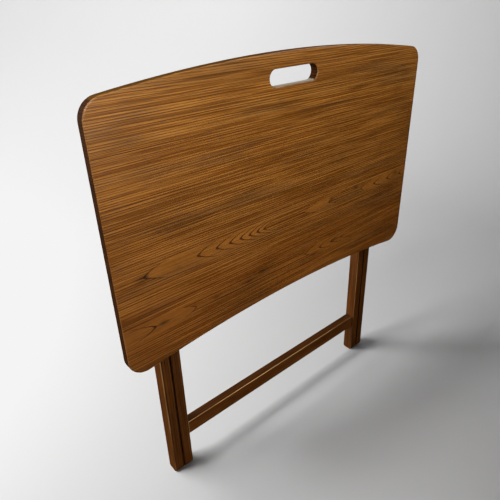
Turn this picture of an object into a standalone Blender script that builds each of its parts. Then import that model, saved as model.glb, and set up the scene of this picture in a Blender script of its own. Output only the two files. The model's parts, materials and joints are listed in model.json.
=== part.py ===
"""Folding tray table, standing folded: a curved board with a hand slot hangs in front of two nested leg frames.

Metres, +Z up. The origin is on the floor under the middle of the folded table, X runs along the board and
the show face looks to -Y. The folded table leans back a little, which brings its weight over its feet.
Unfolded, the outer frame's top goes to +Y and the inner frame's top to -Y, and the board, carried by two
sliding blocks on the inner frame's top dowel, swings up and lies on both dowels.

The pieces are drawn upright, with y counted back from the board's show face, and each is then placed by
PLACE, which leans them all together.
"""

import math

import bmesh
import bpy
from mathutils import Matrix, Vector

# Driving dimensions.
LEAN = math.radians(2.5)     # of the folded table, its top to +Y

TRAY_WIDTH = 0.650
TRAY_SIDE_LOW = 0.2716       # height of the board's lower corners when folded
TRAY_SIDE_HIGH = 0.6600      # height of its upper corners
TRAY_RISE = 0.0234           # both long edges rise by this at the middle
TRAY_THICKNESS = 0.0150
TRAY_CORNER = 0.0280
TRAY_ROUND = 0.0016

SLOT_LENGTH = 0.0980
SLOT_HEIGHT = 0.0240
SLOT_Z = 0.6490

LEG_SPREAD = 0.5306          # over the outer legs
LEG_WIDTH = 0.0182
LEG_DEPTH = 0.0220
LEG_GAP = 0.0012             # between an outer leg and the inner leg beside it
LEG_SETBACK = 0.0258         # board's show face to the legs' front
LEG_ROUND = 0.0015
FOOT_ROUND = 0.0030

PIVOT_Z = 0.3000
OPEN_ANGLE = math.radians(27.0)   # each frame leans this far when the table is open
OUTER_DOWEL_Z = 0.6000
OUTER_DOWEL_BACK = 0.0030         # dowel axis behind the middle of its leg
INNER_DOWEL_BACK = 0.0015
INNER_LEG_OVER_DOWEL = 0.0103
DOWEL_R = 0.0060
TENON_R = 0.0045
TENON_LENGTH = 0.0120

STRETCHER_LOW = 0.0677
STRETCHER_HIGH = 0.0956
STRETCHER_THICKNESS = 0.0168
STRETCHER_RECESS = 0.0027

RUNNER_X = 0.2050
RUNNER_WIDTH = 0.0260
RUNNER_THICKNESS = 0.0100
RUNNER_LOW = 0.3120
RUNNER_HIGH = 0.6420
CRADLE_FLOOR = 0.0030             # wood left under the cradle for the outer dowel
GROOVE_LIP = 0.0057               # wood beside the narrow part of the T groove
BLOCK_WIDTH = 0.0200
BLOCK_HEIGHT = 0.0200
BLOCK_OPEN_Z = 0.3550             # where the block stands on the board when the table is open
KEY_HEAD_WIDTH = 0.0120
KEY_NECK_WIDTH = 0.0060
KEY_LENGTH = 0.0180
JOIN_OVERLAP = 0.0010             # how far two solids run into each other where they are made one

GAP = 0.0003                      # clearance kept between neighbouring solids
SLIDE_CLEARANCE = 0.0005
BOARD_CLEARANCE = 0.0007          # open board's back to the outer legs' ends

BOLT_R = 0.0030
BOLT_HEAD_R = 0.0070
BOLT_HEAD_HEIGHT = 0.0034
WASHER_R = 0.0070
WASHER_THICKNESS = 0.0010
SPACER_THICKNESS = 0.0006
NUT_R = 0.0058
NUT_HEIGHT = 0.0050
BOLT_PAST_NUT = 0.0012

SCREW_R = 0.0018
SCREW_HEAD_R = 0.0036
SCREW_HEAD_DEPTH = 0.0024
SCREW_HEAD_EDGE = 0.0004          # straight rim of the head
SCREW_POINT = 0.0030
RUNNER_SCREW_LENGTH = 0.0200
STRETCHER_SCREW_LENGTH = 0.0400
RUNNER_SCREW_Z = (0.3260, 0.6020, 0.6350)
STRETCHER_SCREW_OFFSET = 0.0070   # above and below the stretcher's middle

# Sizes worked out from them.
FRAME_BACK = LEG_SETBACK + LEG_DEPTH
LEG_MIDDLE = LEG_SETBACK + LEG_DEPTH / 2
OUTER_DOWEL_Y = LEG_MIDDLE + OUTER_DOWEL_BACK
INNER_DOWEL_Y = LEG_MIDDLE + INNER_DOWEL_BACK
RUNNER_FRONT = TRAY_THICKNESS + GAP
RUNNER_BACK = RUNNER_FRONT + RUNNER_THICKNESS
CRADLE_DEPTH = GAP + CRADLE_FLOOR + GAP + DOWEL_R     # board's back to the outer dowel's axis, open
DOWEL_STEP = (INNER_DOWEL_Y - TRAY_THICKNESS - CRADLE_DEPTH
              + (OUTER_DOWEL_BACK + INNER_DOWEL_BACK) * math.sin(OPEN_ANGLE)) / math.cos(OPEN_ANGLE)
INNER_DOWEL_Z = OUTER_DOWEL_Z - DOWEL_STEP            # lets the open board lie level on both dowels
INNER_LEG_TOP = INNER_DOWEL_Z + INNER_LEG_OVER_DOWEL
CRADLE_Z = BLOCK_OPEN_Z + (OUTER_DOWEL_Z + INNER_DOWEL_Z - 2 * PIVOT_Z) * math.sin(OPEN_ANGLE) + (
    OUTER_DOWEL_BACK - INNER_DOWEL_BACK) * math.cos(OPEN_ANGLE)
OUTER_LEG_X = (LEG_SPREAD - LEG_WIDTH) / 2
INNER_LEG_X = OUTER_LEG_X - LEG_WIDTH - LEG_GAP
INNER_SPAN = INNER_LEG_X - LEG_WIDTH / 2              # half the clear width between the inner legs
OUTER_SPAN = OUTER_LEG_X - LEG_WIDTH / 2


def outer_leg_top(y):
    """Height of the outer leg's sloping end, which lies under the board when the table is open."""
    under_board = CRADLE_DEPTH - BOARD_CLEARANCE
    return OUTER_DOWEL_Z + (under_board + (y - OUTER_DOWEL_Y) * math.sin(OPEN_ANGLE)) / math.cos(OPEN_ANGLE)


FRONT_MOST = LEG_MIDDLE * (1 - math.cos(LEAN)) + TRAY_SIDE_LOW * math.sin(LEAN)
BACK_MOST = (LEG_MIDDLE + LEG_DEPTH / 2 * math.cos(LEAN)
             + outer_leg_top(FRAME_BACK) * math.sin(LEAN))
Y_SHIFT = -(FRONT_MOST + BACK_MOST) / 2               # the origin lies midway from front to back
PLACE = (Matrix.Translation((0, LEG_MIDDLE + Y_SHIFT, 0)) @ Matrix.Rotation(-LEAN, 4, "X")
         @ Matrix.Translation((0, -LEG_MIDDLE, 0)))

SIDES = (("left", -1), ("right", 1))
ALONG_X = Matrix(((0, 0, 1), (1, 0, 0), (0, 1, 0))).to_4x4()     # drawn Y-Z, thickness along X
FACING_FRONT = Matrix(((1, 0, 0), (0, 0, -1), (0, 1, 0))).to_4x4()  # drawn X-Z, thickness along Y


# Scene and materials.

def clear_scene():
    for old in list(bpy.data.objects):
        bpy.data.objects.remove(old, do_unlink=True)


def new_collection(name):
    collection = bpy.data.collections.new(name)
    bpy.context.scene.collection.children.link(collection)
    return collection


def make_material(name, colour, roughness, metallic=0.0):
    material = bpy.data.materials.new(name)
    material.use_nodes = True
    shader = material.node_tree.nodes["Principled BSDF"]
    shader.inputs["Base Color"].default_value = (*colour, 1.0)
    shader.inputs["Roughness"].default_value = roughness
    shader.inputs["Metallic"].default_value = metallic
    return material


clear_scene()
PARTS = new_collection("folding_tray_table")
CUTTERS = new_collection("cutters")
TRAY_OAK = make_material("tray_oak", (0.30, 0.13, 0.04), 0.35)
FRAME_WOOD = make_material("frame_wood", (0.055, 0.025, 0.012), 0.40)
BLOCK_NYLON = make_material("block_nylon", (0.03, 0.03, 0.03), 0.45)
STEEL = make_material("plated_steel", (0.55, 0.53, 0.50), 0.30, 1.0)


# Building blocks.

def add_object(name, data, material=None, matrix=None):
    """Links a part, or a cutter when there is no material."""
    item = bpy.data.objects.new(name, data)
    if matrix is not None:
        item.matrix_world = matrix
    if material is None:
        CUTTERS.objects.link(item)
        item.hide_render = True
        item.display_type = "WIRE"
    else:
        PARTS.objects.link(item)
        data.materials.append(material)
    return item


def arc(centre, radius, start, end, steps):
    """Points on an arc, from start to end in degrees, both ends included."""
    points = []
    for step in range(steps + 1):
        angle = math.radians(start + (end - start) * step / steps)
        points.append((centre[0] + radius * math.cos(angle), centre[1] + radius * math.sin(angle)))
    return points


def extruded(name, outlines, thickness, matrix, material=None):
    """A flat outline, with its holes, given a thickness about its own plane."""
    curve = bpy.data.curves.new(name, "CURVE")
    curve.dimensions = "2D"
    curve.fill_mode = "BOTH"
    curve.extrude = thickness / 2
    for outline in outlines:
        spline = curve.splines.new("POLY")
        spline.points.add(len(outline) - 1)
        for point, (u, v) in zip(spline.points, outline):
            point.co = (u, v, 0, 1)
        spline.use_cyclic_u = True
    drawn = bpy.data.objects.new(name + "_outline", curve)
    CUTTERS.objects.link(drawn)
    bpy.context.view_layer.update()
    evaluated = drawn.evaluated_get(bpy.context.evaluated_depsgraph_get())
    mesh = bpy.data.meshes.new_from_object(evaluated)
    mesh.name = name
    mesh.materials.clear()
    welded = bmesh.new()
    welded.from_mesh(mesh)
    bmesh.ops.remove_doubles(welded, verts=welded.verts, dist=1e-6)
    bmesh.ops.recalc_face_normals(welded, faces=welded.faces)
    welded.to_mesh(mesh)
    welded.free()
    bpy.data.objects.remove(drawn, do_unlink=True)
    bpy.data.curves.remove(curve)
    return add_object(name, mesh, material, matrix)


def box(name, half, front, back, middle, material=None):
    """A block about a middle point, from its half sizes in X and Z and its front and back in Y."""
    built = bmesh.new()
    bmesh.ops.create_cube(built, size=1)
    size = Vector((2 * half.x, back - front, 2 * half.z))
    bmesh.ops.scale(built, verts=built.verts, vec=size)
    mesh = bpy.data.meshes.new(name)
    built.to_mesh(mesh)
    built.free()
    return add_object(name, mesh, material, at(middle.x, (front + back) / 2, middle.z))


def turned(name, profile, steps, matrix, material=None, closed=False):
    """A turned piece about its own Z, from (radius, height) points running down its outer side."""
    mesh = bpy.data.meshes.new(name)
    edges = [(i, i + 1) for i in range(len(profile) - 1)]
    if closed:
        edges.append((len(profile) - 1, 0))
    mesh.from_pydata([(radius, 0, height) for radius, height in profile], edges, [])
    piece = add_object(name, mesh, material, matrix)
    screw = piece.modifiers.new("turn", "SCREW")
    screw.steps = screw.render_steps = steps
    screw.use_merge_vertices = True
    screw.merge_threshold = 1e-5
    screw.use_smooth_shade = True
    return piece


def round_edges(piece, width, segments=2):
    bevel = piece.modifiers.new("rounded edges", "BEVEL")
    bevel.width = width
    bevel.segments = segments
    bevel.limit_method = "ANGLE"
    bevel.angle_limit = math.radians(40)
    bevel.use_clamp_overlap = True


def cut(piece, tool, operation="DIFFERENCE"):
    boolean = piece.modifiers.new(tool.name, "BOOLEAN")
    boolean.operation = operation
    boolean.solver = "EXACT"
    boolean.object = tool


def join(piece, tool):
    cut(piece, tool, "UNION")


def smooth(piece, angle=35):
    piece.data.shade_smooth()
    piece.data.set_sharp_from_angle(angle=math.radians(angle))


def at(x, y, z):
    """A place, with y counted back from the board's show face."""
    return PLACE @ Matrix.Translation((x, y, z))


def along_x(x, y, z, side=1):
    """A turned piece's place, its Z axis pointing outwards along X."""
    return at(x, y, z) @ Matrix.Rotation(math.radians(90 * side), 4, "Y")


# The board.

def tray_outline():
    """Two long edges that rise together, joined to straight sides by round corners."""
    half = TRAY_WIDTH / 2
    radius = (half ** 2 + TRAY_RISE ** 2) / (2 * TRAY_RISE)
    high_centre = TRAY_SIDE_HIGH + TRAY_RISE - radius
    low_centre = TRAY_SIDE_LOW + TRAY_RISE - radius
    corner_x = half - TRAY_CORNER
    high_corner = high_centre + math.sqrt((radius - TRAY_CORNER) ** 2 - corner_x ** 2)
    low_corner = low_centre + math.sqrt((radius + TRAY_CORNER) ** 2 - corner_x ** 2)
    high_turn = math.degrees(math.atan2(high_corner - high_centre, corner_x))
    low_turn = math.degrees(math.atan2(low_corner - low_centre, corner_x))
    right = arc((corner_x, low_corner), TRAY_CORNER, low_turn - 180, 0, 10)
    right += arc((corner_x, high_corner), TRAY_CORNER, 0, high_turn, 10)
    top = arc((0, high_centre), radius, high_turn, 180 - high_turn, 40)[1:-1]
    left = [(-x, z) for x, z in reversed(right)]
    bottom = arc((0, low_centre), radius, 180 - low_turn, low_turn, 40)[1:-1]
    return right + top + left + bottom


def stadium(centre_u, centre_v, length, height, steps=10, upright=False):
    """A slot outline with round ends."""
    radius = height / 2
    reach = length / 2 - radius
    points = arc((reach, 0), radius, -90, 90, steps) + arc((-reach, 0), radius, 90, 270, steps)
    if upright:
        points = [(-v, u) for u, v in points]
    return [(centre_u + u, centre_v + v) for u, v in points]


def make_tray():
    slot = stadium(0, SLOT_Z, SLOT_LENGTH, SLOT_HEIGHT)
    board = extruded("tray_top", [tray_outline(), slot], TRAY_THICKNESS,
                     at(0, TRAY_THICKNESS / 2, 0) @ FACING_FRONT, TRAY_OAK)
    round_edges(board, TRAY_ROUND, 3)
    smooth(board)
    return board


# Screws, dowels and pivots.

def screw_profile(length, grow=0.0):
    """A countersunk screw, its head's face at height 0 and its point down, or the hole that clears it."""
    return [(0, grow), (SCREW_HEAD_R + grow, grow), (SCREW_HEAD_R + grow, -SCREW_HEAD_EDGE - grow),
            (SCREW_R + grow, -SCREW_HEAD_DEPTH - grow), (SCREW_R + grow, SCREW_POINT - length),
            (0, -length - grow)]


def add_screw(name, length, matrix, wood):
    """A screw in its place and a cleared hole in each piece of wood it goes through."""
    turned(name, screw_profile(length), 16, matrix, STEEL)
    hole = turned(name + "_hole", screw_profile(length, GAP), 16, matrix)
    for piece in wood:
        cut(piece, hole)


def add_dowel(name, half_span, y, z, legs):
    """A round rail between two legs, with a turned tenon in a blind mortise at each end."""
    shoulder = half_span - GAP
    end = half_span + TENON_LENGTH
    turned(name, [(0, end), (TENON_R, end), (TENON_R, shoulder), (DOWEL_R, shoulder),
                  (DOWEL_R, -shoulder), (TENON_R, -shoulder), (TENON_R, -end), (0, -end)],
           28, along_x(0, y, z), FRAME_WOOD)
    mortise = end + GAP
    hole = turned(name + "_mortises", [(0, mortise), (TENON_R + GAP, mortise),
                                       (TENON_R + GAP, -mortise), (0, -mortise)], 28, along_x(0, y, z))
    for leg in legs:
        cut(leg, hole)


def add_washer(name, matrix, thickness):
    """Stands on its matrix, its thickness upwards."""
    inner = BOLT_R + GAP
    turned(name, [(inner, thickness), (WASHER_R, thickness), (WASHER_R, 0), (inner, 0)],
           24, matrix, STEEL, closed=True)


def add_pivot(side_name, side, outer_leg, inner_leg):
    """A bolt, three washers and a nut that let the two legs of one side cross."""
    outside = LEG_SPREAD / 2

    def place(x):
        return along_x(side * x, LEG_MIDDLE, PIVOT_Z, side)

    head_low = outside + GAP + WASHER_THICKNESS + GAP
    nut_washer = INNER_SPAN - GAP - WASHER_THICKNESS
    nut_low = nut_washer - GAP - NUT_HEIGHT
    shank = head_low - nut_low + BOLT_PAST_NUT
    dome = [(BOLT_HEAD_R * math.sin(math.radians(a)), BOLT_HEAD_HEIGHT * math.cos(math.radians(a)))
            for a in range(0, 91, 15)]
    turned("pivot_bolt_" + side_name, dome + [(BOLT_R, 0), (BOLT_R, -shank), (0, -shank)],
           24, place(head_low), STEEL)
    add_washer("pivot_head_washer_" + side_name, place(outside + GAP), WASHER_THICKNESS)
    add_washer("pivot_spacer_washer_" + side_name, place(OUTER_SPAN - (LEG_GAP + SPACER_THICKNESS) / 2),
               SPACER_THICKNESS)
    add_washer("pivot_nut_washer_" + side_name, place(nut_washer), WASHER_THICKNESS)
    hexagon = arc((0, 0), NUT_R, 0, 300, 5)
    bore = arc((0, 0), BOLT_R + GAP, 0, 345, 23)
    nut_place = place(nut_low + NUT_HEIGHT / 2)
    extruded("pivot_nut_" + side_name, [hexagon, bore], NUT_HEIGHT, nut_place, STEEL)
    reach = LEG_SPREAD
    hole = turned("pivot_hole_" + side_name, [(0, reach), (BOLT_R + GAP, reach), (BOLT_R + GAP, -reach),
                                              (0, -reach)], 24, place(0))
    cut(outer_leg, hole)
    cut(inner_leg, hole)


# The two leg frames.

def leg_outline(top_front, top_back):
    """A leg from the side, as (y, z), its foot cut level with the floor and rounded at its corners."""
    front, back = LEG_SETBACK, FRAME_BACK
    turn = 270 + math.degrees(LEAN)
    foot = []
    for y, start, end in ((front + FOOT_ROUND, 180, turn), (back - FOOT_ROUND, turn, 360)):
        centre_z = (y - LEG_MIDDLE) * math.tan(LEAN) + FOOT_ROUND / math.cos(LEAN)
        foot += arc((y, centre_z), FOOT_ROUND, start, end, 5)
    return foot + [(back, top_back), (front, top_front)]


def make_leg(name, x, top_front, top_back):
    leg = extruded(name, [leg_outline(top_front, top_back)], LEG_WIDTH, at(x, 0, 0) @ ALONG_X, FRAME_WOOD)
    round_edges(leg, LEG_ROUND)
    smooth(leg)
    return leg


def make_outer_frame():
    legs = {}
    for side_name, side in SIDES:
        legs[side_name] = make_leg("outer_leg_" + side_name, side * OUTER_LEG_X,
                                   outer_leg_top(LEG_SETBACK), outer_leg_top(FRAME_BACK))
    add_dowel("outer_top_dowel", OUTER_SPAN, OUTER_DOWEL_Y, OUTER_DOWEL_Z, legs.values())
    return legs


def make_stretcher():
    """The flat rail between the inner legs, near the floor."""
    front = LEG_SETBACK + STRETCHER_RECESS
    back = front + STRETCHER_THICKNESS
    outline = [(front, STRETCHER_LOW), (back, STRETCHER_LOW), (back, STRETCHER_HIGH), (front, STRETCHER_HIGH)]
    rail = extruded("inner_stretcher", [outline], 2 * (INNER_SPAN - GAP), at(0, 0, 0) @ ALONG_X, FRAME_WOOD)
    round_edges(rail, LEG_ROUND)
    smooth(rail)
    return rail


def make_inner_frame():
    legs = {}
    for side_name, side in SIDES:
        legs[side_name] = make_leg("inner_leg_" + side_name, side * INNER_LEG_X, INNER_LEG_TOP, INNER_LEG_TOP)
    add_dowel("inner_top_dowel", INNER_SPAN, INNER_DOWEL_Y, INNER_DOWEL_Z, legs.values())
    rail = make_stretcher()
    rail_y = LEG_SETBACK + STRETCHER_RECESS + STRETCHER_THICKNESS / 2
    rail_z = (STRETCHER_LOW + STRETCHER_HIGH) / 2
    sunk = OUTER_SPAN - LEG_GAP - GAP
    for side_name, side in SIDES:
        for level, offset in (("low", -STRETCHER_SCREW_OFFSET), ("high", STRETCHER_SCREW_OFFSET)):
            add_screw(f"stretcher_screw_{level}_{side_name}", STRETCHER_SCREW_LENGTH,
                      along_x(side * sunk, rail_y, rail_z + offset, side), (legs[side_name], rail))
    return legs


# The sliding support under the board.

def make_runner(name, x):
    """A batten with a T groove for the sliding block and a cradle for the outer frame's dowel."""
    outline = stadium(x, (RUNNER_LOW + RUNNER_HIGH) / 2, RUNNER_HIGH - RUNNER_LOW, RUNNER_WIDTH,
                      steps=8, upright=True)
    middle = (RUNNER_FRONT + RUNNER_BACK) / 2
    runner = extruded(name, [outline], RUNNER_THICKNESS, at(0, middle, 0) @ FACING_FRONT, FRAME_WOOD)
    round_edges(runner, LEG_ROUND)
    low = BLOCK_OPEN_Z - BLOCK_HEIGHT / 2 - SLIDE_CLEARANCE
    high = INNER_DOWEL_Z + BLOCK_HEIGHT / 2 + SLIDE_CLEARANCE
    groove_z = (low + high) / 2
    neck = KEY_NECK_WIDTH / 2 + GAP
    head = KEY_HEAD_WIDTH / 2 + GAP
    head_depth = RUNNER_THICKNESS - GROOVE_LIP
    for part, half_width, depth in (("neck", neck, 2 * RUNNER_THICKNESS), ("head", head, 2 * head_depth)):
        edge = [(x - half_width, low), (x + half_width, low), (x + half_width, high), (x - half_width, high)]
        groove = extruded(f"{name}_groove_{part}", [edge], depth,
                          at(0, RUNNER_FRONT, 0) @ FACING_FRONT)
        cut(runner, groove)
    if groove_z > CRADLE_Z:
        raise ValueError("the cradle has to lie above the groove")
    cradle = turned(name + "_cradle", [(0, RUNNER_WIDTH), (DOWEL_R + GAP, RUNNER_WIDTH),
                                       (DOWEL_R + GAP, -RUNNER_WIDTH), (0, -RUNNER_WIDTH)], 32,
                    along_x(x, TRAY_THICKNESS + CRADLE_DEPTH, CRADLE_Z))
    cut(runner, cradle)
    smooth(runner)
    return runner


def make_block(name, x):
    """A block that turns on the inner frame's dowel and slides in the runner on a T key."""
    half = Vector((BLOCK_WIDTH, 0, BLOCK_HEIGHT)) / 2
    neck = Vector((KEY_NECK_WIDTH, 0, KEY_LENGTH)) / 2
    head = Vector((KEY_HEAD_WIDTH, 0, KEY_LENGTH)) / 2
    middle = Vector((x, 0, INNER_DOWEL_Z))
    head_front = RUNNER_FRONT + GAP
    head_back = RUNNER_BACK - GROOVE_LIP - GAP
    face = RUNNER_BACK + GAP
    block = box(name, half, face, FRAME_BACK, middle, BLOCK_NYLON)
    join(block, box(name + "_key_neck", neck, head_back - JOIN_OVERLAP, face + JOIN_OVERLAP, middle))
    join(block, box(name + "_key_head", head, head_front, head_back, middle))
    bore = turned(name + "_bore", [(0, BLOCK_WIDTH), (DOWEL_R + GAP, BLOCK_WIDTH),
                                   (DOWEL_R + GAP, -BLOCK_WIDTH), (0, -BLOCK_WIDTH)], 28,
                  along_x(x, INNER_DOWEL_Y, INNER_DOWEL_Z))
    cut(block, bore)


def make_slides(board):
    facing_back = Matrix.Rotation(math.radians(-90), 4, "X")
    for side_name, side in SIDES:
        x = side * RUNNER_X
        runner = make_runner("runner_" + side_name, x)
        make_block("slide_block_" + side_name, x)
        for number, z in enumerate(RUNNER_SCREW_Z, start=1):
            add_screw(f"runner_screw_{number}_{side_name}", RUNNER_SCREW_LENGTH,
                      at(x, RUNNER_BACK - GAP, z) @ facing_back, (runner, board))


def make_table():
    board = make_tray()
    outer_legs = make_outer_frame()
    inner_legs = make_inner_frame()
    make_slides(board)
    for side_name, side in SIDES:
        add_pivot(side_name, side, outer_legs[side_name], inner_legs[side_name])


make_table()
bpy.context.view_layer.update()
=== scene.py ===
"""The looks of the folding tray table: a stained oak board in front of two nested leg frames.

Lengths are in metres. The folded table leans back, so its wooden pieces are drawn upright and then leaned
by LEANING. In that upright frame X runs along the board, Y goes back from its show face and Z goes up.
"""

import json
import math

import bmesh
import bpy
from mathutils import Matrix, Vector

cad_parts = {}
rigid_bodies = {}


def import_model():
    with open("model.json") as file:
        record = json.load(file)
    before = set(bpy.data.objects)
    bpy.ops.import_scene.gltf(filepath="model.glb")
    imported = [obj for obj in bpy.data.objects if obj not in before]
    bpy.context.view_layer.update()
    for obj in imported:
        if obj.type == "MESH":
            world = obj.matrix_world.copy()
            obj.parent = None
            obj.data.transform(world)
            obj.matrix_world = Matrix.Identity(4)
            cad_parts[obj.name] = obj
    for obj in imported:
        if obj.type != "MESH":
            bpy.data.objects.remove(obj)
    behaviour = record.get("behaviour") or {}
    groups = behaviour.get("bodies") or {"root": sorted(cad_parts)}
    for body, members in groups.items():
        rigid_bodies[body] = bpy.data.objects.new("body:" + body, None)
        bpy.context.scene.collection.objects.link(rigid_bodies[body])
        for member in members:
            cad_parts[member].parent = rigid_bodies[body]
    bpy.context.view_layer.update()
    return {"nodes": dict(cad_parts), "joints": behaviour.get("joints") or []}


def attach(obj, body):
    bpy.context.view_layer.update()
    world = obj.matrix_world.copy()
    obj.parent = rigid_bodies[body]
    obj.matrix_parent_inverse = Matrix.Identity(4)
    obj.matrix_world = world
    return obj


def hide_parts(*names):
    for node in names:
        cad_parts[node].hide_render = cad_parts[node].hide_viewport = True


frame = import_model()

# Sizes that the frame doesn't state.
TRAY_DEPTH = 0.3884        # along a straight side
TRAY_RISE = 0.0234         # both long edges rise by this at the middle
TRAY_CORNER = 0.0280
SLOT_LENGTH = 0.0980
SLOT_HEIGHT = 0.0240
SLOT_BELOW_TOP = 0.0344    # middle of the slot under the board's highest point
BOLT_HOLE = 0.0033         # radius
TENON = 0.75               # radius of a dowel's tenon, of the dowel's own
SHOULDER_IN = 0.0123       # from the end of a tenon to its shoulder

# How far the edges are rounded.
BOARD_ROUND = 0.0018
LEG_ROUND = 0.0018
RAIL_ROUND = 0.0019
FOOT_ROUND = 0.0050
DOWEL_CHAMFER = 0.0005
ROUND_STEPS = 4

SLIDE_AXIS = next(j["axis"] for j in frame["joints"] if j["name"] == "tray_slide")
LEAN = math.atan2(SLIDE_AXIS[1], SLIDE_AXIS[2])
UPRIGHT = Matrix.Rotation(LEAN, 4, "X")
LEANING = UPRIGHT.inverted()

FACING_FRONT = Matrix(((1, 0, 0), (0, 0, -1), (0, 1, 0))).to_4x4()   # drawn X-Z, thickness along Y
ALONG_X = Matrix(((0, 0, 1), (1, 0, 0), (0, 1, 0))).to_4x4()          # drawn Y-Z, thickness along X
QUARTER_TURN = Matrix.Rotation(math.radians(90), 4, "Y")              # lays a turned shape along X


def upright_points(node):
    return [UPRIGHT @ v.co for v in frame["nodes"][node].data.vertices]


def upright_box(node):
    """Lowest and highest corners of a CAD node in the upright frame."""
    points = upright_points(node)
    return (Vector(min(p[i] for p in points) for i in range(3)),
            Vector(max(p[i] for p in points) for i in range(3)))


def top_height(node, y):
    """Height of a leg's top end near one of its faces."""
    near = 0.003
    return max(p.z for p in upright_points(node) if abs(p.y - y) < near)


# Shapes.

def arc(centre, radius, start, end, steps):
    """Points on an arc, from start to end in degrees."""
    points = []
    for step in range(steps + 1):
        angle = math.radians(start + (end - start) * step / steps)
        points.append((centre[0] + radius * math.cos(angle), centre[1] + radius * math.sin(angle)))
    return points


def apply_modifiers(piece):
    bpy.context.view_layer.update()
    mesh = bpy.data.meshes.new_from_object(piece.evaluated_get(bpy.context.evaluated_depsgraph_get()))
    piece.modifiers.clear()
    piece.data = mesh


def linked(name, mesh):
    piece = bpy.data.objects.new(name, mesh)
    bpy.context.scene.collection.objects.link(piece)
    return piece


def extruded(name, polygons, thickness, matrix):
    """Flat polygons that share whole edges, given a thickness, as a mesh in the upright frame."""
    shape = bmesh.new()
    for polygon in polygons:
        shape.faces.new([shape.verts.new((u, v, -thickness / 2)) for u, v in polygon])
    bmesh.ops.remove_doubles(shape, verts=shape.verts, dist=1e-6)
    grown = bmesh.ops.extrude_face_region(shape, geom=shape.faces[:])
    raised = [item for item in grown["geom"] if isinstance(item, bmesh.types.BMVert)]
    bmesh.ops.translate(shape, verts=raised, vec=(0, 0, thickness))
    bmesh.ops.transform(shape, matrix=matrix, verts=shape.verts)
    bmesh.ops.recalc_face_normals(shape, faces=shape.faces)
    mesh = bpy.data.meshes.new(name)
    shape.to_mesh(mesh)
    shape.free()
    return linked(name, mesh)


def turned(name, profile, steps, matrix):
    """A turned mesh from (radius, height) points running down its outer side."""
    mesh = bpy.data.meshes.new(name)
    mesh.from_pydata([(r, 0, h) for r, h in profile], [(i, i + 1) for i in range(len(profile) - 1)], [])
    piece = linked(name, mesh)
    screw = piece.modifiers.new("turn", "SCREW")
    screw.steps = screw.render_steps = steps
    screw.use_merge_vertices = True
    screw.merge_threshold = 1e-5
    apply_modifiers(piece)
    piece.data.transform(matrix)
    return piece


def round_edges(piece, width):
    bevel = piece.modifiers.new("rounded", "BEVEL")
    bevel.width = width
    bevel.segments = ROUND_STEPS
    bevel.limit_method = "ANGLE"
    bevel.angle_limit = math.radians(40)
    bevel.harden_normals = True
    bevel.use_clamp_overlap = False
    apply_modifiers(piece)


def cut(piece, cutter):
    boolean = piece.modifiers.new("cut", "BOOLEAN")
    boolean.operation = "DIFFERENCE"
    boolean.solver = "EXACT"
    boolean.object = cutter
    apply_modifiers(piece)
    bpy.data.objects.remove(cutter)


def place(piece, body, slot, material, *nodes):
    """Leans a finished piece, gives it its finish and lets it stand for its CAD nodes."""
    piece.matrix_world = LEANING
    piece.data.shade_smooth()
    piece.data.set_sharp_from_angle(angle=math.radians(50))
    weighted = piece.modifiers.new("flat_faces", "WEIGHTED_NORMAL")
    weighted.keep_sharp = True
    apply_modifiers(piece)
    if material is not None:
        piece.data.materials.clear()
        piece.data.materials.append(material)
    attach(piece, body)
    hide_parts(*nodes)
    return piece


# Materials.

def scaled(colour, factor):
    return tuple(factor * channel for channel in colour)


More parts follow.
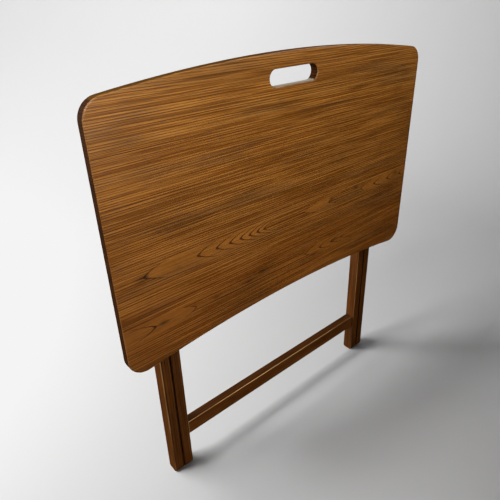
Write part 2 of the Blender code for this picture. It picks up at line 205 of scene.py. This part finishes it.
class Nodes:
    """Short names for the shader nodes that the materials are made of."""

    def __init__(self, name):
        self.material = bpy.data.materials.new(name)
        self.material.use_nodes = True
        self.tree = self.material.node_tree
        self.shader = self.tree.nodes["Principled BSDF"]

    def put(self, socket, value):
        if isinstance(value, bpy.types.NodeSocket):
            self.tree.links.new(value, socket)
        else:
            socket.default_value = value

    def math(self, operation, a, b=0.0, c=0.0, clamp=False):
        node = self.tree.nodes.new("ShaderNodeMath")
        node.operation = operation
        node.use_clamp = clamp
        for socket, value in zip(node.inputs, (a, b, c)):
            self.put(socket, value)
        return node.outputs[0]

    def vector(self, x, y, z):
        node = self.tree.nodes.new("ShaderNodeCombineXYZ")
        for socket, value in zip(node.inputs, (x, y, z)):
            self.put(socket, value)
        return node.outputs[0]

    def coordinates(self, output="Object"):
        """The place on the piece, or with "Normal" the way its surface faces, as x, y and z."""
        node = self.tree.nodes.new("ShaderNodeTexCoord")
        split = self.tree.nodes.new("ShaderNodeSeparateXYZ")
        self.tree.links.new(node.outputs[output], split.inputs[0])
        return split.outputs

    def noise(self, x, y, z, detail=2.0, roughness=0.5):
        """Noise from 0 to 1, one cell for each unit of x, y and z."""
        node = self.tree.nodes.new("ShaderNodeTexNoise")
        node.inputs["Scale"].default_value = 1.0
        node.inputs["Detail"].default_value = detail
        node.inputs["Roughness"].default_value = roughness
        self.put(node.inputs["Vector"], self.vector(x, y, z))
        return node.outputs["Fac"]

    def cells(self, spot, counts, seed=0.0, detail=2.0, roughness=0.5):
        """Noise with its own count of cells per metre along x, y and z."""
        x, y, z = spot
        return self.noise(self.math("MULTIPLY_ADD", x, counts[0], seed), self.math("MULTIPLY", y, counts[1]),
                          self.math("MULTIPLY", z, counts[2]), detail, roughness)

    def step(self, value, low, high, to_low=0.0, to_high=1.0):
        """Goes smoothly from to_low to to_high while the value goes from low to high."""
        node = self.tree.nodes.new("ShaderNodeMapRange")
        node.interpolation_type = "SMOOTHSTEP"
        for socket, number in zip(node.inputs, (value, low, high, to_low, to_high)):
            self.put(socket, number)
        return node.outputs[0]

    def mix(self, factor, a, b, blend="MIX"):
        node = self.tree.nodes.new("ShaderNodeMix")
        node.data_type = "RGBA"
        node.blend_type = blend
        self.put(node.inputs["Factor"], factor)
        for socket, value in ((node.inputs[6], a), (node.inputs[7], b)):
            self.put(socket, (*value, 1.0) if isinstance(value, tuple) else value)
        return node.outputs[2]

    def white(self, value):
        """One random number for each whole number."""
        node = self.tree.nodes.new("ShaderNodeTexWhiteNoise")
        node.noise_dimensions = "1D"
        self.put(node.inputs["W"], value)
        return node.outputs["Value"]

    def bump(self, height, distance, strength):
        node = self.tree.nodes.new("ShaderNodeBump")
        node.inputs["Strength"].default_value = strength
        node.inputs["Distance"].default_value = distance
        self.put(node.inputs["Height"], height)
        self.put(self.shader.inputs["Normal"], node.outputs[0])

    def set(self, **values):
        for name, value in values.items():
            self.put(self.shader.inputs[name.replace("_", " ")], value)


# The wood's noises, in cells per metre along the grain, through the board and across the grain.
SWAYING = (2.4, 1.0, 9.0)          # of the rings' whole course
WOBBLING = (22.0, 1.0, 90.0)       # of each line about that course
PLAIN = (6.0, 1.0, 26.0)           # patches where the lines are weak
THREADS = (9.0, 500.0, 1000.0)
PORES = (60.0, 900.0, 1150.0)
BANDS = (5.0, 1.0, 40.0)           # cooler streaks of the stain
CLOUDS = (8.0, 1.0, 26.0)          # lighter and darker patches

RING_WOBBLE = 0.0012               # how far
LEAF_REACH = 0.030                 # how far the arms of each point run back along the grain
LEAF_BEND = 1.55                   # 1 would make the arms straight
LEAF_LINE = 0.0027
LEAF_DEPTH = 1.05
LINE_DEPTH = 0.85
PORE_DEPTH = 0.65
BAND_DEPTH = 0.65
STAIN_COOL = (0.66, 0.70, 1.10)
# The colour of the highlight painted along rounded edges.
PAINTED_EDGE_HIGHLIGHT_COLOUR = (0.48, 0.27, 0.10)

# (dark, middle, light) of the stained wood.
OAK = ((0.036, 0.0090, 0.0004), (0.118, 0.0350, 0.0010), (0.240, 0.0900, 0.0120))
FRAME_OAK = ((0.018, 0.0040, 0.0003), (0.060, 0.0160, 0.0010), (0.102, 0.0310, 0.0028))
EDGE_OAK = tuple(scaled(colour, 0.45) for colour in FRAME_OAK)

# Colours painted on the upward faces: a painted reflection on the board's edge and on the hand slot's lower
# wall, painted shade on the stretcher's top.
EDGE_TOP_PAINTED_REFLECTION = (0.085, 0.036, 0.0055)
SLOT_TOP_PAINTED_REFLECTION = (0.30, 0.26, 0.20)
RAIL_TOP_PAINTED_SHADE = (0.026, 0.0075, 0.0006)

STEEL = (0.55, 0.53, 0.50)
NYLON = (0.022, 0.022, 0.023)

# The board's staves, from its lower edge up, with the height of each one's top. The grain's centre is the
# height of the pith, at a depth under the face; its leaves are (start, end, points, power, half height) and
# the marks are knots and dark streaks, (x, z, length, height, strength). The tones multiply each stave's
# colour; they rise from the lowest stave to the highest, and besides each stave's own colour they paint
# a paler sheen towards the board's top and deeper shade towards its bottom.
STAVES = (
    {"top": 0.384,
     "grain": {"seed": 11.0, "centre": 0.343, "depth": 0.003, "pitch": 0.0036, "sway": 0.006,
               "tone": (0.87, 0.79, 0.72),
               "leaves": ((-0.204, -0.420, 3.0, 1.0, 0.011), (0.030, 0.130, 3.0, 1.2, 0.009))},
     "marks": ((-0.262, 0.3435, 0.010, 0.0035, 0.6), (-0.167, 0.3434, 0.008, 0.003, 0.45),
               (-0.101, 0.3434, 0.007, 0.003, 0.5), (-0.070, 0.351, 0.010, 0.003, 0.5),
               (0.112, 0.344, 0.014, 0.003, 0.45), (0.060, 0.336, 0.012, 0.003, 0.4))},
    {"top": 0.466,
     "grain": {"seed": 16.3, "centre": 0.426, "depth": 0.002, "pitch": 0.0034, "sway": 0.006,
               "tone": (0.96, 0.93, 0.97),
               "leaves": ((-0.284, -0.065, 7.0, 2.2, 0.0115), (0.025, 0.090, 1.0, 1.0, 0.008),
                          (0.180, 0.345, 4.0, 1.0, 0.010))},
     "marks": ((-0.284, 0.4270, 0.010, 0.0035, 0.6), (0.097, 0.4297, 0.005, 0.003, 0.6),
               (0.164, 0.4334, 0.008, 0.003, 0.5), (0.290, 0.4298, 0.008, 0.004, 0.5))},
    {"top": 0.532,
     "grain": {"seed": 21.6, "centre": 0.750, "depth": 0.060, "pitch": 0.0034, "sway": 0.012,
               "tone": (0.97, 0.97, 0.99)},
     "marks": ((-0.250, 0.4910, 0.070, 0.006, 0.25),)},
    {"top": 0.598,
     "grain": {"seed": 26.9, "centre": 0.200, "depth": 0.080, "pitch": 0.0032, "sway": 0.014,
               "tone": (1.05, 1.05, 1.00)},
     "marks": ()},
    {"top": 1.000,
     "grain": {"seed": 32.2, "centre": 0.950, "depth": 0.060, "pitch": 0.0031, "sway": 0.012,
               "tone": (1.17, 1.22, 1.25)},
     "marks": ((0.150, 0.612, 0.030, 0.004, 0.25), (-0.150, 0.628, 0.060, 0.006, 0.22))},
)
EDGE_GRAIN = {"seed": 40.0, "centre": 0.9, "depth": 0.05, "pitch": 0.0040, "sway": 0.006,
              "tone": (1.0, 1.0, 1.0)}


def rings(n, spot, grain):
    """Counts a log's growth rings out from its pith, and gives the distance across the grain from it."""
    seed = grain["seed"]
    slow = n.cells(spot, SWAYING, seed)
    quick = n.cells(spot, WOBBLING, seed, 3.0)
    across = n.math("SUBTRACT", spot[2], grain["centre"] + 0.5 * grain["sway"] + 0.5 * RING_WOBBLE)
    across = n.math("MULTIPLY_ADD", slow, grain["sway"], across)
    across = n.math("MULTIPLY_ADD", quick, RING_WOBBLE, across)
    squared = n.math("MULTIPLY", across, across)
    radius = n.math("SQRT", n.math("ADD", squared, grain["depth"] ** 2))
    count = n.math("DIVIDE", radius, grain["pitch"])
    uneven = n.noise(n.math("MULTIPLY_ADD", count, 0.4, seed), 3.0, 0.0, 1.0)
    return n.math("ADD", uneven, count), across


def leaf(n, x, across, start, end, number, power, half):
    """The nested points that rings make where the cut runs near the pith, as (inside, dark lines).

    They follow one another from start to end and point back to start, closer together for a higher power.
    """
    length = end - start
    side = n.math("DIVIDE", n.math("ABSOLUTE", across), half)
    back = n.math("MULTIPLY", n.math("POWER", side, LEAF_BEND), LEAF_REACH / abs(length))
    run = n.math("SUBTRACT", n.math("MULTIPLY_ADD", x, 1 / length, -start / length), back)
    steady = n.math("MAXIMUM", run, 0.001)
    part = n.math("FRACT", n.math("MULTIPLY", n.math("POWER", steady, power), number))
    per_metre = n.math("MULTIPLY", n.math("POWER", steady, power - 1), number * power / abs(length))
    off = n.math("DIVIDE", n.math("MINIMUM", part, n.math("SUBTRACT", 1.0, part)), per_metre)
    thick = n.math("MULTIPLY_ADD", side, -0.5 * LEAF_LINE, LEAF_LINE)
    line = n.step(n.math("DIVIDE", off, thick), 1.5, 0.5)
    begun = 0.001 / abs(length)
    inside = n.math("MULTIPLY", n.step(side, 1.3, 0.9), n.step(run, -begun, begun))
    return n.math("MULTIPLY", inside, n.step(run, 1.04, 0.98)), line


def ring_lines(n, spot, grain):
    """The dark lines of the growth rings, and where they are plain ones, outside every leaf."""
    count, across = rings(n, spot, grain)
    # Each line starts softly in one ring and ends sharply in the next, and some are stronger than others.
    part = n.math("FRACT", count)
    line = n.math("MAXIMUM", n.step(part, 0.04, 0.26, 1.0, 0.0), n.step(part, 0.80, 0.94))
    strong = n.white(n.math("FLOOR", n.math("ADD", count, 0.4)))
    line = n.math("MULTIPLY", line, n.math("MULTIPLY_ADD", strong, 0.30, 0.70))
    plain = n.step(n.cells(spot, PLAIN, grain["seed"] + 5.0), 0.56, 0.68)
    line = n.math("MULTIPLY", line, n.math("MULTIPLY_ADD", plain, -0.4, 1.0))
    flat = 1.0
    for shape in grain.get("leaves", ()):
        inside, points = leaf(n, spot[0], across, *shape)
        outside = n.math("SUBTRACT", 1.0, inside)
        points = n.math("MULTIPLY", points, LEAF_DEPTH)
        line = n.math("MULTIPLY_ADD", points, inside, n.math("MULTIPLY", line, outside))
        flat = n.math("MULTIPLY", flat, outside)
    return line, flat


def arris(n, x, seed, dark_side):
    """How far a spot lies on a rounded edge, as (painted highlight, painted shade).

    The painted highlight comes and goes in patches along the edge. The edges that face dark_side, which is -1
    or 1 along X, get the painted shade of a gap instead; with 0 there are none.
    """
    # flat is 1 on a face and falls as the surface turns from one face to the next.
    faces = [n.math("ABSOLUTE", way) for way in n.coordinates("Normal")]
    flat = n.math("MAXIMUM", faces[0], n.math("MAXIMUM", faces[1], faces[2]))
    edge = n.step(flat, 0.975, 0.86)
    dark = n.step(n.math("MULTIPLY", n.coordinates("Normal")[0], float(dark_side)), 0.2, 0.4)
    # The painted highlight is stronger in some patches along the edge than in others, and is left off the
    # edges that get painted shade.
    highlight_patches = n.step(n.noise(n.math("MULTIPLY_ADD", x, 7.0, seed), 0.0, 0.0, 3.0), 0.38, 0.60, 0.15, 1.0)
    pale = n.math("MULTIPLY", n.math("MULTIPLY", edge, highlight_patches), n.math("SUBTRACT", 1.0, dark))
    return pale, n.math("MULTIPLY", n.step(flat, 0.998, 0.93), dark)


def darken(n, shade, spot, marks):
    """The shade of the wood with its knots and dark streaks in it."""
    for mark_x, mark_z, length, height, strength in marks:
        u = n.math("DIVIDE", n.math("SUBTRACT", spot[0], mark_x), length)
        v = n.math("DIVIDE", n.math("SUBTRACT", spot[2], mark_z), height)
        off = n.math("MULTIPLY_ADD", u, u, n.math("MULTIPLY", v, v))
        mark = n.math("EXPONENT", n.math("MULTIPLY", off, -1.0))
        shade = n.math("MULTIPLY", shade, n.math("MULTIPLY_ADD", mark, -strength, 1.0))
    return shade


def wood(name, colours, along, grain, marks=(), specular=0.30, roughness=0.36,
         worn=0.0, dark_side=0, top=None):
    """Stained and varnished wood, in (dark, middle, light) colours.

    along is the axis that the grain follows. worn is how strongly a highlight is painted along the rounded
    edges, dark_side the side of X whose edges get painted shade instead, and top a colour painted on the
    upward faces where it differs: painted reflection on the board's edge and slot, painted shade on the
    stretcher's top.
    """
    n = Nodes(name)
    x, y, z = n.coordinates()
    spot = (z, y, x) if along == "Z" else (x, y, z)
    dark, middle, light = colours
    seed = grain["seed"]
    line, flat = ring_lines(n, spot, grain)

    # Thin threads and open pores run with the grain, the pores mostly in the dark lines.
    thread = n.math("SUBTRACT", n.cells(spot, THREADS, seed, 1.0, 0.6), 0.5)
    thread = n.math("MULTIPLY_ADD", thread, n.math("MULTIPLY_ADD", flat, 0.7, 0.3), 0.5)
    light_thread = n.step(thread, 0.40, 0.60)
    pore = n.step(n.cells(spot, PORES, seed, 1.0), 0.54, 0.66)
    pore = n.math("MULTIPLY", pore, n.math("MULTIPLY_ADD", line, 0.55, 0.30))

    colour = n.mix(light_thread, middle, light)
    colour = n.mix(n.math("MULTIPLY_ADD", flat, -0.2, 0.2), colour, light)
    colour = n.mix(n.math("MULTIPLY", line, LINE_DEPTH, clamp=True), colour, dark)
    colour = n.mix(n.math("MULTIPLY", pore, PORE_DEPTH), colour, scaled(dark, 0.5))
    band = n.step(n.cells(spot, BANDS, seed + 7.0), 0.50, 0.66, 0.0, BAND_DEPTH)
    colour = n.mix(band, colour, n.mix(1.0, colour, STAIN_COOL, "MULTIPLY"))
    shade = n.step(n.cells(spot, CLOUDS, seed + 3.0), 0.30, 0.70, 0.90, 1.08)
    shade = darken(n, shade, spot, marks)
    # The tone multiplies the colour; on the board's staves it also holds painted sheen towards the top and
    # painted shade towards the bottom.
    tint = n.vector(*(n.math("MULTIPLY", shade, channel) for channel in grain["tone"]))
    colour = n.mix(1.0, colour, tint, "MULTIPLY")
    if worn > 0.0:
        # Painted shade on the edges beside the gap between two legs, and a painted highlight along the
        # rounded edges.
        pale, painted_gap_shade = arris(n, spot[0], seed, dark_side)
        colour = n.mix(n.math("MULTIPLY", painted_gap_shade, 0.8), colour, scaled(dark, 0.2))
        colour = n.mix(n.math("MULTIPLY", pale, worn), colour, PAINTED_EDGE_HIGHLIGHT_COLOUR)
    # A colour painted on the upward faces, with the grain's threads in it: painted reflection on the board's
    # edge and slot, painted shade on the stretcher's top.
    if top is not None:
        painted_top_light_and_shade = n.mix(light_thread, scaled(top, 0.75), scaled(top, 1.2))
        colour = n.mix(n.step(n.coordinates("Normal")[2], 0.78, 0.96, 0.0, 0.85), colour, painted_top_light_and_shade)

    gloss = n.math("MULTIPLY_ADD", thread, 0.10, roughness - 0.05)
    gloss = n.math("MULTIPLY_ADD", pore, 0.12, gloss)
    n.set(Base_Color=colour, Roughness=gloss, Specular_IOR_Level=specular)
    height = n.math("MULTIPLY_ADD", line, -0.5, n.math("MULTIPLY", thread, 0.3))
    height = n.math("MULTIPLY_ADD", pore, -0.8, height)
    n.bump(height, 0.0003, 0.35)
    return n.material


def frame_oak(name, along, seed, away, tone=1.0, **more):
    """The leg frames' wood, straight-grained because its pith is away from the piece."""
    grain = {"seed": seed, "centre": away, "depth": 0.03, "pitch": 0.0042, "sway": 0.006, "tone": (tone,) * 3}
    return wood(name, FRAME_OAK, along, grain, specular=0.22, **more)


def metal(name, colour, roughness):
    """Plated steel with faint turning marks."""
    n = Nodes(name)
    spot = n.coordinates()
    dull = n.cells(spot, (900.0, 900.0, 900.0), detail=3.0)
    marks = n.cells(spot, (6000.0, 300.0, 300.0))
    tint = n.mix(n.step(dull, 0.35, 0.75), colour, scaled(colour, 0.72))
    n.set(Base_Color=tint, Metallic=1.0, Roughness=n.math("MULTIPLY_ADD", dull, 0.2, roughness))
    n.bump(marks, 0.0001, 0.3)
    return n.material


def moulded(name, colour, roughness):
    """Black moulded plastic with a fine spark finish."""
    n = Nodes(name)
    grit = n.cells(n.coordinates(), (2500.0, 2500.0, 2500.0))
    n.set(Base_Color=n.mix(grit, colour, scaled(colour, 1.6)),
          Roughness=n.math("MULTIPLY_ADD", grit, 0.15, roughness))
    n.bump(grit, 0.0001, 0.5)
    return n.material


# The board.

def board_halves(box):
    """The right and left halves of the board, each with half of the hand slot, in X and Z."""
    low, high = box
    half = (high.x - low.x) / 2
    radius = (half ** 2 + TRAY_RISE ** 2) / (2 * TRAY_RISE)
    high_centre = high.z - radius
    low_centre = high_centre - TRAY_DEPTH
    corner_x = half - TRAY_CORNER
    high_corner = high_centre + math.sqrt((radius - TRAY_CORNER) ** 2 - corner_x ** 2)
    low_corner = low_centre + math.sqrt((radius + TRAY_CORNER) ** 2 - corner_x ** 2)
    high_turn = math.degrees(math.atan2(high_corner - high_centre, corner_x))
    low_turn = math.degrees(math.atan2(low_corner - low_centre, corner_x))
    right = arc((0, low_centre), radius, 90, low_turn, 48)[:-1]
    right += arc((corner_x, low_corner), TRAY_CORNER, low_turn - 180, 0, 24)
    right += arc((corner_x, high_corner), TRAY_CORNER, 0, high_turn, 24)
    right += arc((0, high_centre), radius, high_turn, 90, 48)[1:]
    slot_z = high.z - SLOT_BELOW_TOP
    end = arc(((SLOT_LENGTH - SLOT_HEIGHT) / 2, slot_z), SLOT_HEIGHT / 2, 90, -90, 24)
    right += [(0, slot_z + SLOT_HEIGHT / 2)] + end + [(0, slot_z - SLOT_HEIGHT / 2)]
    return [right, [(-x, z) for x, z in right]]


def in_slot(point, top):
    """Whether a point of the board's side faces is on the wall of the hand slot."""
    margin = 0.001
    off = abs(point.z - top + SLOT_BELOW_TOP)
    return abs(point.x) < SLOT_LENGTH / 2 + margin and off < SLOT_HEIGHT / 2 + margin


def make_board():
    """One board of edge-glued staves, each with its own grain."""
    low, high = box = upright_box("tray_top")
    thickness = high.y - low.y
    middle = Matrix.Translation((0, (low.y + high.y) / 2, 0))
    board = extruded("tray_board", board_halves(box), thickness, middle @ FACING_FRONT)
    round_edges(board, BOARD_ROUND)
    staved = bmesh.new()
    staved.from_mesh(board.data)
    for stave in STAVES[:-1]:
        everything = staved.verts[:] + staved.edges[:] + staved.faces[:]
        bmesh.ops.bisect_plane(staved, geom=everything, plane_co=(0, 0, stave["top"]), plane_no=(0, 0, 1))
    edge, slot_wall = len(STAVES), len(STAVES) + 1
    for face in staved.faces:
        centre = face.calc_center_median()
        if abs(face.normal.y) < 0.5:
            face.material_index = slot_wall if in_slot(centre, high.z) else edge
        else:
            face.material_index = next(i for i, stave in enumerate(STAVES) if centre.z < stave["top"])
    staved.to_mesh(board.data)
    staved.free()
    for number, stave in enumerate(STAVES):
        # A faint painted highlight along the board's rounded edges.
        finish = wood(f"board_oak_{number}", OAK, "X", stave["grain"], stave["marks"], worn=0.1)
        board.data.materials.append(finish)
    # The board's edge and the hand slot's wall, with a painted reflection on their upward faces.
    for name, top in (("board_edge", EDGE_TOP_PAINTED_REFLECTION), ("slot_wall", SLOT_TOP_PAINTED_REFLECTION)):
        finish = wood(name, EDGE_OAK, "X", EDGE_GRAIN, specular=0.03, roughness=0.6, top=top)
        board.data.materials.append(finish)
    place(board, "tray", "tray_oak", None, "tray_top")


# The leg frames.

def make_leg(body, node, seed):
    """A leg with a foot that is rounded and cut level, and a hole for the pivot bolt."""
    low, high = upright_box(node)
    turn = 270 + math.degrees(LEAN)
    outline = []
    for y, start, end in ((low.y + FOOT_ROUND, 180, turn), (high.y - FOOT_ROUND, turn, 360)):
        floor = y * math.tan(LEAN)
        outline += arc((y, floor + FOOT_ROUND / math.cos(LEAN)), FOOT_ROUND, start, end, 8)
    outline += [(high.y, top_height(node, high.y)), (low.y, top_height(node, low.y))]
    middle = (low.x + high.x) / 2
    leg = extruded(node + "_wood", [outline], high.x - low.x, Matrix.Translation((middle, 0, 0)) @ ALONG_X)
    round_edges(leg, LEG_ROUND)
    bolt_low, bolt_high = upright_box("pivot_spacer_washer_left")
    axis = Matrix.Translation((0, (bolt_low.y + bolt_high.y) / 2, (bolt_low.z + bolt_high.z) / 2))
    profile = [(0, 1), (BOLT_HOLE, 1), (BOLT_HOLE, -1), (0, -1)]
    cut(leg, turned("hole", profile, 32, axis @ QUARTER_TURN))
    # The leg's rounded edges get a painted highlight, except those beside the other leg of its pair, which
    # get painted shade.
    gap_side = math.copysign(1, middle) * (1 if node.startswith("inner") else -1)
    finish = frame_oak(node + "_grain", "Z", seed, middle + 0.06, worn=0.45, dark_side=gap_side)
    place(leg, body, "frame_wood", finish, node)


def make_rail(body, node, seed):
    """The flat stretcher, with a painted highlight along its rounded edges and painted shade on its top face.
    """
    low, high = upright_box(node)
    outline = [(low.y, low.z), (high.y, low.z), (high.y, high.z), (low.y, high.z)]
    rail = extruded(node + "_wood", [outline], high.x - low.x, ALONG_X)
    round_edges(rail, RAIL_ROUND)
    finish = frame_oak(node + "_grain", "X", seed, high.z + 0.05, 1.25, worn=0.9, top=RAIL_TOP_PAINTED_SHADE)
    place(rail, body, "frame_wood", finish, node)


def make_dowel(body, node, seed):
    """A round rail with its tenons; its long edges are broken by a small chamfer."""
    low, high = upright_box(node)
    radius = (high.z - low.z) / 2
    shoulder = high.x - SHOULDER_IN
    half = [(0, high.x), (TENON * radius, high.x), (TENON * radius, shoulder),
            (radius - DOWEL_CHAMFER, shoulder), (radius, shoulder - DOWEL_CHAMFER)]
    profile = half + [(r, -h) for r, h in reversed(half)]
    axis = Matrix.Translation((0, (low.y + high.y) / 2, (low.z + high.z) / 2))
    dowel = turned(node + "_wood", profile, 64, axis @ QUARTER_TURN)
    finish = frame_oak(node + "_grain", "X", seed, high.z + 0.05)
    place(dowel, body, "frame_wood", finish, node)


def finish_cad_pieces():
    """The hardware, the sliding blocks and the runners keep their CAD shapes and get their finishes."""
    steel = metal("plated_steel", STEEL, 0.22)
    nylon = moulded("block_nylon", NYLON, 0.42)
    for name, node in frame["nodes"].items():
        if name.startswith("pivot") or "screw" in name:
            finish = steel
        elif name.startswith("slide_block"):
            finish = nylon
        elif name.startswith("runner"):
            finish = frame_oak(name + "_grain", "Z", 21.0, 0.3)
        else:
            continue
        node.data.materials.clear()
        node.data.materials.append(finish)


def make_table():
    make_board()
    for number, side in enumerate(("left", "right")):
        make_leg("outer_frame", f"outer_leg_{side}", 2.0 + number)
        make_leg("inner_frame", f"inner_leg_{side}", 5.0 + number)
    make_rail("inner_frame", "inner_stretcher", 9.0)
    make_dowel("outer_frame", "outer_top_dowel", 13.0)
    make_dowel("inner_frame", "inner_top_dowel", 17.0)
    finish_cad_pieces()


# The camera, placed from the board's highest point and show face.
CAMERA_OFFSET = Vector((-0.5299, -0.5110, 0.0723))
CAMERA_LENS = 34.81
CAMERA_PITCH = math.radians(28.00)   # downwards
CAMERA_YAW = math.radians(40.31)     # to the right
CAMERA_ROLL = math.radians(-1.95)


def make_camera():
    low, high = upright_box("tray_top")
    forward = Vector((math.sin(CAMERA_YAW) * math.cos(CAMERA_PITCH),
                      math.cos(CAMERA_YAW) * math.cos(CAMERA_PITCH), -math.sin(CAMERA_PITCH)))
    right = Vector((math.cos(CAMERA_YAW), -math.sin(CAMERA_YAW), 0))
    up = right.cross(forward)
    rolled_right = right * math.cos(CAMERA_ROLL) + up * math.sin(CAMERA_ROLL)
    rolled_up = up * math.cos(CAMERA_ROLL) - right * math.sin(CAMERA_ROLL)
    turn = Matrix((rolled_right, rolled_up, -forward)).transposed().to_4x4()
    spot = Matrix.Translation(Vector((0, low.y, high.z)) + CAMERA_OFFSET)
    data = bpy.data.cameras.new("camera")
    data.lens = CAMERA_LENS
    data.sensor_width = 36
    camera = linked("camera", data)
    camera.matrix_world = LEANING @ spot @ turn
    bpy.context.scene.camera = camera


# The studio.
FLOOR_FLAT = 1.1           # radius of its level part
FLOOR_SWEEP = 1.3          # radius of the bend up to the wall
WALL_HEIGHT = 2.6
FILM_WHITE = 0.905         # the brightest grey that the picture shows
FILM_SHOULDER = 0.8        # greys up to this one are left as they are

# (name, place, target, size, power, spread in degrees)
ROOM_LAMPS = (
    ("wall_right", (-1.0, -0.2, 2.2), (1.5, 1.8, 0.8), 0.5, 14.0, 70),
    ("wall_back", (-1.0, -0.2, 2.2), (-0.2, 2.3, 1.0), 0.5, 5.0, 70),
    ("floor_left", (-1.4, 0.6, 1.6), (-0.6, 0.7, 0.0), 0.5, 8.5, 90),
    ("floor_back", (-0.8, 1.2, 1.2), (-0.2, 1.0, 0.0), 0.5, 4.1, 120),
    ("over_back", (-0.5, 0.8, 2.6), (0.3, 1.5, 0.0), 0.5, 7.2, 120),
    ("high_left", (-1.6, 1.4, 1.4), (0, 0, 0), 0.8, 9.7, 160),
    ("low_back_left", (-1.40, 1.14, 0.54), (0, 0, 0), 0.4, 5.5, 160),
    ("low_left", (-1.75, 0.35, 0.54), (0, 0, 0), 0.4, 2.9, 160),
)
TABLE_LAMPS = (
    ("front_left", (-0.5, -0.32, 1.05), (-0.25, 0, 0.6), 0.35, 0.75, 90),
    ("front_right", (0.7, -0.6, 1.15), (0.2, 0, 0.5), 0.35, 1.4, 90),
    ("sheen", (-0.20, -1.4, 0.95), (-0.3, 0, 0.62), 0.6, 1.9, 60),
)


def make_floor():
    """A pale round floor whose rim sweeps up into the studio wall."""
    curve = arc((FLOOR_FLAT, FLOOR_SWEEP), FLOOR_SWEEP, -90, 0, 24)
    profile = [(0, 0)] + curve + [(FLOOR_FLAT + FLOOR_SWEEP, WALL_HEIGHT)]
    floor = turned("studio_floor", profile, 128, Matrix())
    floor.data.shade_smooth()
    n = Nodes("studio_floor")
    x, y, z = n.coordinates()
    faint = n.noise(n.math("MULTIPLY", x, 1.5), n.math("MULTIPLY", y, 1.5), 0.0)
    n.set(Base_Color=n.mix(faint, (0.60, 0.60, 0.60), (0.62, 0.62, 0.62)), Roughness=0.9,
          Specular_IOR_Level=0.1)
    floor.data.materials.append(n.material)
    floor.visible_glossy = False


def add_light(name, spot, target, size, power, spread, lit=None):
    """A soft lamp aimed at a target; it lights only one collection when lit is given."""
    light = bpy.data.lights.new(name, "AREA")
    light.shape = "SQUARE"
    light.size = size
    light.energy = power
    light.spread = math.radians(spread)
    lamp = linked(name, light)
    lamp.location = spot
    lamp.rotation_euler = (Vector(target) - Vector(spot)).to_track_quat("-Z", "Y").to_euler()
    lamp.visible_camera = False
    if lit is not None:
        lamp.light_linking.receiver_collection = lit


def set_film():
    """Presses the brightest greys together under the film's white."""
    view = bpy.context.scene.view_settings
    view.view_transform = "Standard"
    view.use_curve_mapping = True
    film = view.curve_mapping
    film.extend = "HORIZONTAL"
    film.curves[3].points[-1].location = (1.0, FILM_WHITE)
    film.curves[3].points.new(FILM_SHOULDER, FILM_SHOULDER)
    film.update()


def make_studio():
    """Light from the left and behind, which leaves the floor in front and to the right in soft shade."""
    make_floor()
    world = bpy.data.worlds.new("studio")
    bpy.context.scene.world = world
    world.use_nodes = True
    world.node_tree.nodes["Background"].inputs["Strength"].default_value = 0.0
    for lamp in ROOM_LAMPS:
        add_light(*lamp)
    table = bpy.data.collections.new("table")
    for piece in bpy.context.scene.objects:
        if piece.type == "MESH" and piece.name != "studio_floor":
            table.objects.link(piece)
    for lamp in TABLE_LAMPS:
        add_light(*lamp, table)
    set_film()


make_table()
make_camera()
make_studio()
